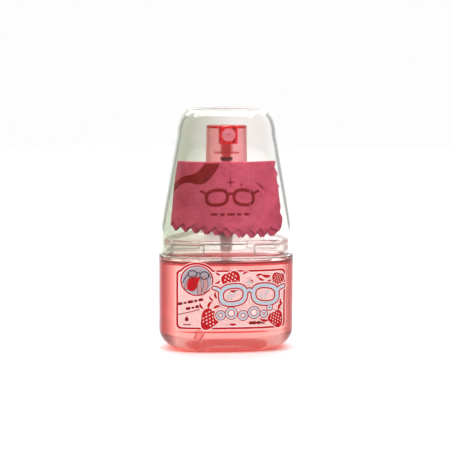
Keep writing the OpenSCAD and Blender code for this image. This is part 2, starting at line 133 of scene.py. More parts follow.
class Nodes:
    """The node tree of a material or of the world, with short calls to add to it."""

    def __init__(self, name, kind="Material"):
        owners = bpy.data.worlds if kind == "World" else bpy.data.materials
        self.material = owners.new(name)
        self.material.use_nodes = True
        self.tree = self.material.node_tree
        self.tree.nodes.clear()
        self.out = self.add("ShaderNodeOutput" + kind)

    def add(self, kind, **inputs):
        node = self.tree.nodes.new(kind)
        for key, value in inputs.items():
            self.link(value, node.inputs[key.replace("_", " ")])
        return node

    def link(self, value, socket):
        """Leads another node's output to a socket, or sets a plain value there."""
        if isinstance(value, bpy.types.NodeSocket):
            self.tree.links.new(value, socket)
        else:
            socket.default_value = value

    def shader(self, **inputs):
        return self.add("ShaderNodeBsdfPrincipled", **inputs)

    def coords(self):
        return self.add("ShaderNodeTexCoord").outputs["Object"]

    def place(self, vector=None):
        """The x, y and z of the point being shaded."""
        split = self.add("ShaderNodeSeparateXYZ")
        self.link(vector or self.coords(), split.inputs[0])
        return split.outputs["X"], split.outputs["Y"], split.outputs["Z"]

    def noise(self, scale, detail=3.0, rough=0.55, vector=None, distortion=0.0):
        return self.add("ShaderNodeTexNoise", Vector=vector or self.coords(), Scale=scale, Detail=detail,
                        Roughness=rough, Distortion=distortion).outputs["Fac"]

    def span(self, value, low, high, from_low=0.0, from_high=1.0):
        return self.add("ShaderNodeMapRange", Value=value, From_Min=from_low, From_Max=from_high,
                        To_Min=low, To_Max=high).outputs["Result"]

    def math(self, operation, a, b):
        node = self.add("ShaderNodeMath")
        node.operation = operation
        self.link(a, node.inputs[0])
        self.link(b, node.inputs[1])
        return node.outputs[0]

    def size(self, value):
        return self.math("ABSOLUTE", value, 0)

    def between(self, value, low, high):
        """1 between two distances in millimetres, else 0."""
        above = self.math("GREATER_THAN", value, low * MM)
        return self.math("MULTIPLY", above, self.math("LESS_THAN", value, high * MM))

    def mix(self, factor, a, b):
        node = self.add("ShaderNodeMix")
        node.data_type = "RGBA"
        for key, value in ((0, factor), (6, a), (7, b)):
            self.link(value, node.inputs[key])
        return node.outputs[2]

    def bump(self, height, distance, strength=1.0):
        return self.add("ShaderNodeBump", Height=height, Strength=strength,
                        Distance=distance).outputs["Normal"]

    def finish(self, shader, let_lamps_through=None):
        """Ends the tree. let_lamps_through tints the lamp light that goes through clear plastic."""
        surface = shader.outputs[0]
        if let_lamps_through:
            clear = self.add("ShaderNodeBsdfTransparent", Color=let_lamps_through)
            mixed = self.add("ShaderNodeMixShader")
            self.link(self.add("ShaderNodeLightPath").outputs["Is Shadow Ray"], mixed.inputs[0])
            self.link(surface, mixed.inputs[1])
            self.link(clear.outputs[0], mixed.inputs[2])
            surface = mixed.outputs[0]
        self.link(surface, self.out.inputs["Surface"])
        return self.material

    def absorb(self, colour, density):
        """Tints what is seen through the depth of the piece."""
        depth = self.add("ShaderNodeVolumeAbsorption", Color=colour, Density=density)
        self.link(depth.outputs[0], self.out.inputs["Volume"])


def glow_inside(shader, weight=0.3):
    """Milky plastic: light spreads a little under the surface."""
    shader.inputs["Subsurface Weight"].default_value = weight
    shader.inputs["Subsurface Radius"].default_value = (0.0012, 0.0008, 0.0007)
    shader.inputs["Subsurface Scale"].default_value = 1.0


def clear_plastic(name, tint, ior, rough, murk, density, satin_above=None, shade=None, painted_bottle_shade=False):
    """Clear moulded plastic: faint flow marks in its polish and its surface, and a slight tint in its depth.

    It has a satin finish above the height satin_above, and painted shade turns its tint towards shade on the
    left side.
    On the bottle that holds the liquid, painted shade tints the wall: the liquid's deep red at its sides, a
    dark line at the liquid's top, darker red on the back of its foot and dark lines round the grip pads.
    """
    m = Nodes(name)
    co = m.coords()
    haze = m.noise(90, 4, vector=co)
    flow = m.noise(260, 2, vector=co, distortion=1.5)
    x, y, z = m.place(co)
    rough = m.span(haze, rough * 0.5, rough * 1.6, 0.3, 0.7)
    if satin_above is not None:
        satin = m.span(haze, 0.05, 0.1, 0.3, 0.7)
        upper = m.math("GREATER_THAN", z, satin_above * MM)
        rough = m.math("ADD", m.math("MULTIPLY", upper, satin), rough)
    # painted shade: the left side of the plastic is tinted darker and greener
    if shade is not None:
        tint = m.mix(m.span(x, 1.0, 0.0, -16 * MM, 2 * MM), tint, shade)
    if painted_bottle_shade:
        # painted shade: the wall's sides take the liquid's deep red, standing for the dark edges the liquid
        # shows
        across = m.size(x)
        side = m.span(across, 0.0, 1.0, (HALF_W - 6.0) * MM, (HALF_W - 1.3) * MM)
        side = m.math("MULTIPLY", side, m.math("LESS_THAN", z, FLUID_TOP * MM))
        tint = m.mix(side, tint, (0.42, 0.004, 0.002, 1))

        # painted shade: a dark red line on the wall along the top of the liquid's meniscus
        climb = m.size(m.math("SUBTRACT", z, (FLUID_TOP + 0.68) * MM))
        tint = m.mix(m.span(climb, 1.0, 0.0, 0.38 * MM, 0.5 * MM), tint, (0.56, 0.010, 0.016, 1))

        # painted shade: the back of the foot darker, for the shadow on the floor under the bottle
        slant = m.math("ADD", across, m.math("MULTIPLY", z, 1.5))
        foot = m.math("MULTIPLY", m.math("LESS_THAN", z, 2.6 * MM), m.math("LESS_THAN", slant, 18.6 * MM))
        foot = m.math("MULTIPLY", foot, m.math("GREATER_THAN", y, 0.0))
        tint = m.mix(foot, tint, (0.80, 0.28, 0.24, 1))

        # painted shade: darker lines along the edges of the grip pads
        pad_x = m.size(m.math("SUBTRACT", across, (PAD_X[0] + PAD_X[1]) / 2 * MM))
        pad_x = m.math("SUBTRACT", pad_x, (PAD_X[1] - PAD_X[0]) / 2 * MM)
        pad_z = m.size(m.math("SUBTRACT", z, (PAD_Z[0] + PAD_Z[1]) / 2 * MM))
        pad_z = m.math("SUBTRACT", pad_z, (PAD_Z[1] - PAD_Z[0]) / 2 * MM)
        outline = m.size(m.math("MAXIMUM", pad_x, pad_z))
        tint = m.mix(m.span(outline, 1.0, 0.0, 0.15 * MM, 0.4 * MM), tint, (0.48, 0.38, 0.36, 1))
    s = m.shader(Base_Color=tint, Roughness=rough, IOR=ior, Transmission_Weight=1.0,
                 Normal=m.bump(flow, 0.01 * MM, 0.6))
    m.absorb(murk, density)
    return m.finish(s, (0.93, 0.93, 0.92, 1))


def fluid_material():
    """Pink cleaner, with painted shade: dark red at its top, deeper red at its sides and near its floor."""
    m = Nodes("pink_fluid")
    s = m.shader(Base_Color=(1, 0.93, 0.92, 1), Roughness=0.0, IOR=1.34, Transmission_Weight=1.0)
    drift = m.noise(60, 2)
    x, _, z = m.place()
    # painted shade: the top of the liquid dark red, standing for the dark line of its surface
    rim = m.span(z, 0.0, 1.0, (FLUID_TOP - 0.7) * MM, (FLUID_TOP - 0.55) * MM)
    # painted shade: darker near the floor, where the ground under the bottle is in shadow
    floor = m.span(z, 1.0, 0.0, 2.2 * MM, 3.2 * MM)
    # painted shade: deeper red towards the sides
    side = m.span(m.size(x), 0.0, 1.0, (HALF_W - 6.0) * MM, (HALF_W - 1.0) * MM)
    body = m.mix(drift, (1.0, 0.955, 0.95, 1), (1.0, 0.985, 0.98, 1))
    body = m.mix(side, body, (0.84, 0.34, 0.30, 1))
    body = m.mix(floor, body, (0.93, 0.34, 0.29, 1))
    m.link(m.mix(rim, body, (0.36, 0.001, 0.002, 1)), s.inputs["Base Color"])
    m.absorb((0.95, 0.14, 0.07, 1), 54.0)
    return m.finish(s, (1.0, 0.62, 0.58, 1))


def tube_plastic():
    """Thin natural polyethylene, nearly lost in the liquid that fills and surrounds it."""
    m = Nodes("tube_plastic")
    co = m.coords()
    milk = m.noise(160, 3, vector=co)
    body = m.mix(milk, (1, 0.8, 0.78, 1), (1, 0.92, 0.91, 1))
    s = m.shader(Base_Color=body, IOR=1.12, Transmission_Weight=0.93,
                 Roughness=m.span(milk, 0.08, 0.2, 0.3, 0.7))
    return m.finish(s, (0.97, 0.85, 0.85, 1))


def red_translucent():
    """Transparent red styrene with a fine satin finish: thin walls look pink and thick ones deep red."""
    m = Nodes("red_plastic")
    co = m.coords()
    x, y, z = m.place(co)
    block = m.math("MULTIPLY", m.math("LESS_THAN", m.size(x), 3.3 * MM), m.between(z, 76.2, 83.0))
    block = m.math("MULTIPLY", block, m.math("LESS_THAN", y, -3.2 * MM))
    satin = m.noise(500, 3, vector=co)
    flow = m.noise(120, 3, vector=co, distortion=1.0)
    body = m.mix(block, m.mix(flow, (1, 0.82, 0.83, 1), (1, 0.92, 0.93, 1)), (0.96, 0.16, 0.24, 1))
    s = m.shader(Base_Color=body, IOR=1.46, Transmission_Weight=1.0,
                 Roughness=m.span(satin, 0.08, 0.2, 0.3, 0.7), Normal=m.bump(satin, 0.01 * MM, 0.5))
    m.absorb((0.96, 0.16, 0.20, 1), 350.0)
    return m.finish(s, (0.97, 0.6, 0.6, 1))


def moulded(name, colour, rough=0.38, grain=0.03, through=0.0, subsurface=0.0, lamps=None):
    """Moulded plastic: slight shade drift, fine grain, uneven polish; through is how clear it is."""
    m = Nodes(name)
    co = m.coords()
    drift = m.noise(140, 3, vector=co)
    grainy = m.noise(1400, 2, vector=co)
    low = tuple(c * 0.93 for c in colour[:3]) + (1,)
    s = m.shader(Base_Color=m.mix(m.span(drift, 0, 1, 0.3, 0.7), low, colour),
                 Roughness=m.span(grainy, rough * 0.85, rough * 1.2, 0.3, 0.7), IOR=1.49,
                 Normal=m.bump(grainy, grain * MM, 0.5), Transmission_Weight=through)
    if subsurface:
        glow_inside(s, subsurface)
    return m.finish(s, lamps)


def stem_plastic():
    """Natural plastic, with a band of painted shade on its shoulder just under the button's socket."""
    m = Nodes("stem_plastic")
    co = m.coords()
    _, _, z = m.place(co)
    # painted shade: a dark band where the button's socket shades the stem
    dark = m.between(z, 69.98, 71.22)
    drift = m.noise(300, 3, vector=co)
    pale = m.mix(drift, linear(226, 128, 132), linear(238, 150, 152))
    s = m.shader(Base_Color=m.mix(dark, pale, linear(96, 40, 56)), IOR=1.45,
                 Roughness=m.span(drift, 0.28, 0.42, 0.3, 0.7))
    glow_inside(s)
    return m.finish(s)


def steel(name):
    m = Nodes(name)
    co = m.coords()
    drawn = m.noise(2200, 3, vector=co)
    body = m.mix(drawn, (0.5, 0.5, 0.52, 1), (0.68, 0.68, 0.7, 1))
    s = m.shader(Base_Color=body, Metallic=1.0, Roughness=m.span(drawn, 0.18, 0.36),
                 Normal=m.bump(drawn, 0.01 * MM))
    return m.finish(s)


def microfibre(name, colour, dark):
    """Knitted microfibre: suede-like nap over a fine knit, with soft shade changes from handling."""
    m = Nodes(name)
    co = m.coords()
    knit = m.add("ShaderNodeTexWave", Vector=co, Scale=520.0, Distortion=2.2, Detail=2.0)
    knit.inputs["Detail Scale"].default_value = 1.6
    knit.bands_direction = "DIAGONAL"
    nap = m.noise(2600, 3, 0.7, vector=co)
    tuft = m.noise(900, 3, 0.65, vector=co)
    rubbed = m.noise(110, 4, 0.6, vector=co, distortion=0.6)
    pile = m.math("ADD", nap, m.math("MULTIPLY", tuft, 0.7))
    height = m.math("ADD", m.math("MULTIPLY", knit.outputs["Fac"], 0.35), pile)
    fine = m.span(m.math("ADD", nap, tuft), 0, 1, 0.65, 1.35)
    body = m.mix(fine, dark, colour)
    light = tuple(min(1, c * 1.25 + 0.01) for c in colour[:3]) + (1,)
    body = m.mix(m.span(rubbed, 0.0, 0.55, 0.42, 0.7), body, light)
    s = m.shader(Base_Color=body, Roughness=0.92,
                 Normal=m.bump(height, 0.07 * MM, 0.55))
    s.inputs["Sheen Weight"].default_value = 0.12
    s.inputs["Sheen Roughness"].default_value = 0.45
    s.inputs["Sheen Tint"].default_value = (1.0, 0.75, 0.8, 1)
    s.inputs["Specular IOR Level"].default_value = 0.2
    return m.finish(s)


def ink(name, colour, shine=0.32, speck=0.12):
    """Printed ink under a gloss film, with the slight unevenness of a litho print."""
    m = Nodes(name)
    co = m.coords()
    dots = m.noise(2400, 2, vector=co)
    cloud = m.noise(300, 3, vector=co)
    low = tuple(c * (1 - speck * 2) for c in colour[:3]) + (1,)
    body = m.mix(m.span(m.math("ADD", dots, cloud), 0, 1, 0.7, 1.3), low, colour)
    s = m.shader(Base_Color=body, Normal=m.bump(cloud, 0.01 * MM, 0.4),
                 Roughness=m.span(cloud, shine * 0.8, shine * 1.25, 0.3, 0.7))
    s.inputs["Specular IOR Level"].default_value = 0.2
    return m.finish(s)


def film(name, colour, cover):
    """Clear label film with a thin tint: mostly seen through."""
    m = Nodes(name)
    co = m.coords()
    cloud = m.noise(400, 3, vector=co)
    s = m.shader(Base_Color=colour, IOR=1.4,
                 Roughness=m.span(cloud, 0.1, 0.25, 0.3, 0.7))
    clear = m.add("ShaderNodeBsdfTransparent", Color=(1, 1, 1, 1))
    mixed = m.add("ShaderNodeMixShader")
    m.link(m.span(cloud, cover - 0.03, cover + 0.03, 0.3, 0.7), mixed.inputs[0])
    m.link(clear.outputs[0], mixed.inputs[1])
    m.link(s.outputs[0], mixed.inputs[2])
    m.link(mixed.outputs[0], m.out.inputs["Surface"])
    return m.material


MAT = {
    # the bottle's wall carries painted shade: dark sides, a dark line at the liquid's top, a darker foot and
    # pad edges
    "bottle": clear_plastic("clear_bottle", (0.995, 0.985, 0.98, 1), 1.50, 0.03, (0.93, 0.52, 0.46, 1), 60.0,
                            satin_above=LEDGE - 1.4, painted_bottle_shade=True),
    # the overcap gets painted shade on its left side
    "cap": clear_plastic("clear_cap", (0.99, 0.985, 0.97, 1), 1.49, 0.04, (0.62, 0.62, 0.50, 1), 12.0,
                         shade=(0.73, 0.76, 0.67, 1)),
    "fluid": fluid_material(),
    "button": red_translucent(),
    "nozzle": moulded("nozzle_plastic", linear(226, 124, 138), 0.35, 0.02, subsurface=0.3),
    "white": moulded("white_plastic", linear(238, 238, 236), 0.4, 0.03, subsurface=0.2),
    "natural": moulded("natural_plastic", linear(226, 205, 200), 0.35, 0.02, through=0.45,
                       lamps=(0.9, 0.85, 0.85, 1)),
    "barrel": moulded("barrel_plastic", linear(250, 220, 214), 0.35, 0.02, through=0.8,
                      lamps=(0.95, 0.88, 0.87, 1)),
    "tube": tube_plastic(),
    "stem": stem_plastic(),
    "gasket": moulded("soft_gasket", linear(214, 214, 208), 0.6, 0.05),
    "steel": steel("spring_steel"),
    "cloth": microfibre("microfibre_pink", linear(208, 86, 110), linear(172, 56, 82)),
    # painted shade: a darker colour for the cloth's cut edges, standing for the shadow lines along its pinked
    # teeth
    "edge_shade": microfibre("microfibre_edge_shade", linear(150, 40, 62), linear(118, 22, 42)),
    "dye": microfibre("microfibre_print", linear(146, 4, 12), linear(110, 0, 6)),
    "film": film("label_film", linear(255, 232, 228), 0.10),
    "tint": film("label_tint", linear(255, 222, 218), 0.5),
    "ink_white": ink("ink_white", linear(252, 226, 222), speck=0.03),
    "ink_red": ink("ink_red", linear(204, 0, 18)),
    "ink_deep": ink("ink_deep_red", linear(140, 0, 12)),
    "ink_silver": ink("ink_silver", linear(196, 208, 218), 0.25, 0.06),
    "ink_grey": ink("ink_grey", linear(178, 162, 170), speck=0.05),
    "ink_dark": ink("ink_dark", linear(58, 34, 44)),
    "ink_skin": ink("ink_skin", linear(206, 150, 150), speck=0.06),
}

# ---- bottle
ANGLES = even_angles(288)


def pad_lift(x, z):
    """Outward lift of the four grip pads on the spigot, as a share of their height."""
    def edge(value, low, high, soft):
        return np.clip((value - low) / soft + 0.5, 0, 1) * np.clip((high - value) / soft + 0.5, 0, 1)

    pad = edge(np.abs(x), *PAD_X, 0.2) * edge(z, *PAD_Z, 0.25)
    nub = edge(np.abs(x), 21.0, 21.9, 0.5) * edge(z, 37.6, 39.3, 0.5)
    return pad + 0.8 * nub


def spigot_angles():
    """More columns where the grip pads' upright edges fall."""
    extra = []
    for x in (9.0, 9.1, 9.2, 9.3, 9.4, 20.0, 20.1, 20.2, 20.3, 20.4, 20.8, 21.1, 21.8, 22.1):
        t = math.acos((x / (HALF_W - SPIGOT)) ** (SQUARE / 2))
        extra += [t, math.pi - t, math.pi + t, 2 * math.pi - t]
    return np.unique(np.concatenate([ANGLES, extra]))


def outer_bottle():
    """Rings over the outside, from the middle of the foot up, then down into the neck's bore."""
    # the hollow under the foot, then the oval ring that it stands on
    rows = [(1.32, 1.5, 0.8), (1.3, 4, 2.2), (1.22, 7, 3.8), (1.05, 10, 5.4), (0.8, 12.4, 6.5)]
    rows += [(0.5, 14.2, 7.4), (0.22, 14.9, 7.7), (0.06, 15.3, 8.0), (0.0, 15.9, 8.5)]
    rows += [(0.03, 16.5, 9.05), (0.16, 17.2, 9.6)]
    for u in np.linspace(18, 90, 16):
        inward, up = 1 - math.sin(math.radians(u)), 1 - math.cos(math.radians(u))
        rows.append((0.25 + (BASE_Z - 0.25) * up, HALF_W - BASE_X * inward, HALF_D - BASE_Y * inward))

    # the wall, set back for the label
    rows += [(BASE_Z + 0.35, HALF_W, HALF_D), (BASE_Z + 0.6, HALF_W, HALF_D - 0.05)]
    rows += [(BASE_Z + 0.9, HALF_W, HALF_D - RECESS)]
    rows += [(z, HALF_W, HALF_D - RECESS) for z in np.linspace(BASE_Z + 1.2, LEDGE - 1.2, 24)]
    rows += [(LEDGE - 0.95, HALF_W, HALF_D - 0.05), (LEDGE - 0.8, HALF_W, HALF_D)]

    def around(z, inset, bend):
        """A rounding, given as steps outward and up from a centre."""
        return [(z + dz, HALF_W - inset + dx, HALF_D - inset + dx) for dx, dz in bend]

    # the ledge and the spigot that the overcap goes over
    rows += around(LEDGE - 0.45, 0.45, arc(0, 0, 0.45, 0.45, 0, 90, 6))
    rows += [(LEDGE, HALF_W - SPIGOT + 0.5, HALF_D - SPIGOT + 0.5)]
    rows += around(LEDGE + 0.3, SPIGOT - 0.3, arc(0, 0, 0.3, 0.3, 270, 180, 5))
    spigot = [36.2, 36.35, 36.5, 36.65, 36.8, 37.4, 37.8, 38.5, 39.1, 39.6, 39.7, 39.85, 40.0, 40.15, 40.3]
    rows += [(z, HALF_W - SPIGOT, HALF_D - SPIGOT) for z in spigot]
    rows += around(40.45, SPIGOT + 1, arc(0, 0, 1, 1, 12, 78, 7))
    t_all = spigot_angles()
    rings = []
    for z, a, b in rows:
        r = ring(z, a, b, t_all)
        if 36 < z < 40.4:
            lift = PAD_LIFT * pad_lift(r[:, 0], r[:, 2])
            r[:, 1] *= 1 + lift / b
            r[:, 0] *= 1 + lift / a
        rings.append(r)

    # the shoulder turns from the oval into the round neck
    z0, a0, b0 = rows[-1]
    for t in np.linspace(0, 1, 22)[1:]:
        z = z0 + (44.5 - z0) * (1 - (1 - t) ** 1.35)
        rings.append(ring(z, a0 + (7.1 - a0) * t, b0 + (7.1 - b0) * t, t_all, SQUARE + (2 - SQUARE) * t))
    neck = [(6.75, 44.62), (6.55, 44.85), (NECK_R, 45.2), (NECK_R, 50), (NECK_R, NECK_TOP - 0.3)]
    neck += [(6.42, NECK_TOP - 0.1), (6.2, NECK_TOP), (5.6, NECK_TOP), (5.4, NECK_TOP - 0.1)]
    neck += [(NECK_BORE, NECK_TOP - 0.3), (NECK_BORE, 50), (NECK_BORE, 44.2)]
    rings += [ring(z, r, r, t_all, 2) for r, z in neck]
    return rings, t_all


# the crowned floor inside, as height, half width and half depth
FLOOR = [(2.4, 1.5, 0.8), (2.38, 4, 2.2), (2.3, 7, 3.8), (2.1, 10, 5.4), (1.75, 13, 6.9), (1.5, 14.4, 7.3)]


def base_wall(u, gap=0.0):
    """A point of the inside's lower rounding, as z, half width and half depth."""
    t = WALL + gap
    inward, up = 1 - math.sin(u), 1 - math.cos(u)
    return (1.35 + gap + (BASE_Z - 1.35) * up, HALF_W - t - (BASE_X - WALL) * inward,
            HALF_D - t - RECESS - (BASE_Y - WALL) * inward)


def inner_bottle(t_all):
    """Rings over the inside, from the neck down to the middle of the floor."""
    rings = []
    a1, b1 = HALF_W - SPIGOT - 1.9, HALF_D - SPIGOT - 1.9
    for t in np.linspace(1, 0, 18):
        z = 40.5 + 2.9 * (1 - (1 - t) ** 1.35)
        n = SQUARE + (2 - SQUARE) * t
        rings.append(ring(z, a1 + (5.4 - a1) * t, b1 + (5.4 - b1) * t, t_all, n))
    a, b = HALF_W - SPIGOT - WALL, HALF_D - SPIGOT - WALL
    rows = [(39.3 + dz, a - 1 + dx, b - 1 + dx) for dx, dz in arc(0, 0, 1, 1, 75, 0, 6)]
    rows += [(37, a, b), (LEDGE, a, b), (LEDGE - 0.5, a + 0.05, b + 0.05)]
    rows += [(LEDGE - 1.0, a + 0.5, b + 0.45)]
    a, b = HALF_W - WALL, HALF_D - WALL - RECESS
    rows += [(LEDGE - 1.5, a - 0.1, b - 0.05)]
    rows += [(z, a, b) for z in np.linspace(LEDGE - 1.9, BASE_Z + 0.5, 22)]
    rows += [base_wall(math.radians(u)) for u in np.linspace(90, 8, 16)]
    rows += FLOOR[::-1]
    return rings + [ring(z, p, q, t_all) for z, p, q in rows]


def build_bottle():
    outside, t_all = outer_bottle()
    verts, faces = loft(outside + inner_bottle(t_all))
    obj = make("bottle_shell", verts, faces, MAT["bottle"], "bottle", sharp_deg=50)
    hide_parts("bottle")
    verts, faces = screw_ridge(NECK_R - 0.15, NECK_R + 0.75, 47.6, 1.25, 0.8, 0.3)
    make("neck_thread", verts, faces, MAT["bottle"], "bottle", sharp_deg=40)


def screw_ridge(root_r, crest_r, low_z, turns, root_w, crest_w, pitch=3.0):
    """A helical ridge that rises from the wall and fades at both ends."""
    steps = int(turns * 96)
    rings = []
    for k in range(steps + 1):
        grow = min(1, k / 12, (steps - k) / 12)
        r = root_r + (crest_r - root_r) * max(grow, 0.04)
        z = low_z + pitch * turns * k / steps
        a = 2 * math.pi * turns * k / steps
        flank_r = r - (r - root_r) * 0.2
        section = [(root_r, -root_w), (flank_r, -crest_w - 0.1), (r, -crest_w + 0.1)]
        section += [(p, -q) for p, q in section[::-1]]
        rings.append(np.array([(p * math.cos(a), p * math.sin(a), z + q) for p, q in section]))
    verts, faces = loft(rings)
    return verts, faces


def build_fluid():
    gap = -0.06     # the liquid wets the wall, so its skin lies just inside the plastic
    rows = [(z + gap, p, q) for z, p, q in FLOOR]
    rows += [base_wall(math.radians(u), gap) for u in np.linspace(8, 90, 20)]
    a, b = HALF_W - WALL - gap, HALF_D - WALL - RECESS - gap
    rows += [(z, a, b) for z in np.linspace(BASE_Z + 0.6, FLUID_TOP - 0.2, 20)]
    # the surface climbs the wall in a small meniscus
    climb = ((0.3, 0), (0.62, 0.02), (0.42, 0.16), (0.22, 0.4), (0.09, 0.8), (0.02, 1.5))
    rows += [(FLUID_TOP + up, a - inward, b - inward) for up, inward in climb]
    rows += [(FLUID_TOP, a * f, b * f) for f in (0.85, 0.6, 0.3, 0.08)]
    verts, faces = loft([ring(z, p, q, ANGLES) for z, p, q in rows])
    obj = make("fluid_body", verts, faces, MAT["fluid"], "bottle", sharp_deg=60)
    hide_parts("cleaning_fluid")


# ---- overcap
def cap_half(z, inset):
    """Half width and half depth of the overcap at height z, inset from its outside."""
    d = np.asarray(z, float) - CAP_BEND
    rise = np.where(d < -CAP_SOFT, 0, np.where(d > CAP_SOFT, d, (d + CAP_SOFT) ** 2 / (4 * CAP_SOFT)))
    band = (np.minimum(z, CAP_BEND) - CAP_RIM) * 0.02
    return HALF_W - 0.1 - inset - band - rise * 0.184, HALF_D - 0.1 - inset - band - rise * 0.085


def cap_shell(inset, top):
    """Rows of the overcap's inner or outer skin, from above its rim to near the middle of its top."""
    heights = np.linspace(CAP_RIM + 1.0, CAP_ROUND_Z - 0.4, 56)
    rows = [(z,) + tuple(map(float, cap_half(z, inset))) for z in heights]
    a, b = map(float, cap_half(CAP_ROUND_Z, inset))
    rise = top - CAP_CROWN - CAP_ROUND_Z
    for u in np.linspace(0, 90, 22):
        inward, up = 1 - math.cos(math.radians(u)), math.sin(math.radians(u))
        rows.append((CAP_ROUND_Z + rise * up, a - (CAP_ROUND - inset) * inward,
                     b - (CAP_ROUND - 1.4 - inset) * inward))
    a1, b1 = rows[-1][1], rows[-1][2]
    for f in np.linspace(0.9, 0.1, 9):
        rows.append((top - CAP_CROWN * f ** 2, a1 * f, b1 * f))
    return rows


def build_overcap():
    inside = cap_shell(CAP_WALL, CAP_TOP - CAP_TOP_WALL)[::-1]
    outside = cap_shell(0, CAP_TOP)
    a, b = map(float, cap_half(CAP_RIM, 0))
    bends = ((0.55, CAP_WALL), (0.25, CAP_WALL - 0.02), (0.05, CAP_WALL - 0.2), (0, CAP_WALL - 0.4))
    bends += ((0, 0.35), (0.1, 0.1), (0.35, 0))
    rim = [(CAP_RIM + up, a - inward, b - inward) for up, inward in bends]
    rows = inside + rim + outside
    verts, faces = loft([ring(z, p, q, ANGLES) for z, p, q in rows])
    obj = make("overcap_shell", verts, faces, MAT["cap"], "overcap", sharp_deg=60)
    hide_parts("overcap")


build_bottle()
build_fluid()
build_overcap()


# ---- parts kept from the CAD
LOOKS = {"button": "button", "nozzle_insert": "nozzle", "main_stem": "stem", "lower_stem": "natural",
         "piston": "natural", "pump_housing": "barrel", "dip_tube": "tube", "housing_cap": "white",
         "screw_collar": "white", "neck_gasket": "gasket", "return_spring": "steel", "inlet_ball": "steel"}
for node, material in LOOKS.items():
    for held in nodes[node].material_slots:
        held.material = MAT[material]


# ---- printed shapes
def circle_loop(cx, cy, rx, ry=None, steps=48):
    t = np.arange(steps) * 2 * np.pi / steps
    return np.stack([cx + rx * np.cos(t), cy + (ry or rx) * np.sin(t)], 1)


def panel_loop(x0, y0, x1, y1, r, steps=7):
    left, low, right, high = x0 + r, y0 + r, x1 - r, y1 - r
    points = []
    for cx, cy, a in ((right, high, 0), (left, high, 90), (left, low, 180), (right, low, 270)):
        points += arc(cx, cy, r, r, a, a + 90, steps)
    return np.array(points)


def curve(points, steps=10):
    """A smooth open path through the given points."""
    p = np.asarray(points, float)
    p = np.concatenate([[2 * p[0] - p[1]], p, [2 * p[-1] - p[-2]]])
    out = []
    for before, here, after, beyond in zip(p, p[1:], p[2:], p[3:]):
        turn = 2 * before - 5 * here + 4 * after - beyond
        swing = 3 * here - before - 3 * after + beyond
        for t in np.linspace(0, 1, steps, endpoint=False):
            out.append(0.5 * (2 * here + (after - before) * t + turn * t ** 2 + swing * t ** 3))
    return np.array(out + [p[-2]])


def ribbon(path, width, grow=0.0):
    """The outline of a stroke along an open path; width is one number or one for each point."""
    p = np.asarray(path, float)
    w = np.broadcast_to(np.asarray(width, float), len(p)) / 2 + grow
    d = np.gradient(p, axis=0)
    d /= np.linalg.norm(d, axis=1)[:, None]
    n = np.stack([-d[:, 1], d[:, 0]], 1)

    def cap(centre, direction, side, r):
        angles = np.linspace(0.35, math.pi - 0.35, 6)
        return [centre + r * (math.cos(a) * side + math.sin(a) * direction) for a in angles]

    left, right = p + n * w[:, None], p - n * w[:, None]
    far, near = cap(p[-1], d[-1], -n[-1], w[-1]), cap(p[0], -d[0], n[0], w[0])
    return np.array(list(right) + far + list(left[::-1]) + near)


def is_inside(points, loops):
    """Which points lie inside any of the loops."""
    result = np.zeros(len(points), bool)
    x, y = points[:, :1], points[:, 1:]
    for loop in loops:
        p = np.asarray(loop, float)
        q = np.roll(p, -1, 0)
        side = (q[:, 0] - p[:, 0]) * (y - p[:, 1]) - (x - p[:, 0]) * (q[:, 1] - p[:, 1])
        up = (p[:, 1] <= y) & (q[:, 1] > y) & (side > 0)
        down = (p[:, 1] > y) & (q[:, 1] <= y) & (side < 0)
        result |= (up.sum(1) - down.sum(1)) != 0
    return result


def split_long(loop, longest):
    """The same loop with points added so that no side is longer than that."""
    points = []
    loop = np.asarray(loop, float)
    for a, b in zip(loop, np.roll(loop, -1, axis=0)):
        parts = max(1, math.ceil(np.hypot(*(b - a)) / longest))
        points += [a + (b - a) * k / parts for k in range(parts)]
    return points


def printed(name, loops, holes, place, low, high, material, body):
    """A thin closed layer shaped as the loops less the holes, laid on a surface by place()."""
    grid = 0.8
    points, edges = [], []
    for loop in list(loops) + list(holes):
        loop = split_long(loop, grid)
        k = len(points)
        points += [tuple(map(float, p)) for p in loop]
        edges += [(k + i, k + (i + 1) % len(loop)) for i in range(len(loop))]
    lo, hi = np.min(points, 0), np.max(points, 0)
    gx, gy = np.meshgrid(np.arange(lo[0], hi[0], grid), np.arange(lo[1], hi[1], grid))
    inner = np.stack([gx.ravel(), gy.ravel()], 1)
    inner = inner[is_inside(inner, loops) & ~is_inside(inner, holes)]
    points += [tuple(p) for p in inner]
    result = delaunay_2d_cdt([Vector(p) for p in points], edges, [], 0, 1e-4)
    flat = np.array([tuple(p) for p in result[0]])
    tris = np.array([tuple(f) for f in result[2]])
    middle = flat[tris].mean(1)
    tris = tris[is_inside(middle, loops) & ~is_inside(middle, holes)]
    used, tris = np.unique(tris, return_inverse=True)
    flat, tris = flat[used], tris.reshape(-1, 3)
    n = len(flat)
    pairs = {(int(t[i]), int(t[(i + 1) % 3])) for t in tris for i in range(3)}
    sides = [(b, a, a + n, b + n) for a, b in pairs if (b, a) not in pairs]
    verts = np.concatenate([place(flat, high), place(flat, low)])
    faces = tris.tolist() + (tris[:, ::-1] + n).tolist() + sides
    return make(name, verts, faces, material, body, sharp_deg=40)


# ---- label
LABEL = (-19.4, 9.2, 21.0, 31.3)
TAB = (-11.9, 27.2, 7.5, 6.85)
PICTURE = (-11.85, 27.3, 5.9, 5.6)


def on_label(points, height):
    """Points of the flat label laid on the bottle's front wall, at a height above it."""
    x = points[:, 0]
    a, b = HALF_W + height, HALF_D - RECESS + height
    return np.stack([x, -b * (1 - np.abs(x / a) ** SQUARE) ** (1 / SQUARE), points[:, 1]], 1)


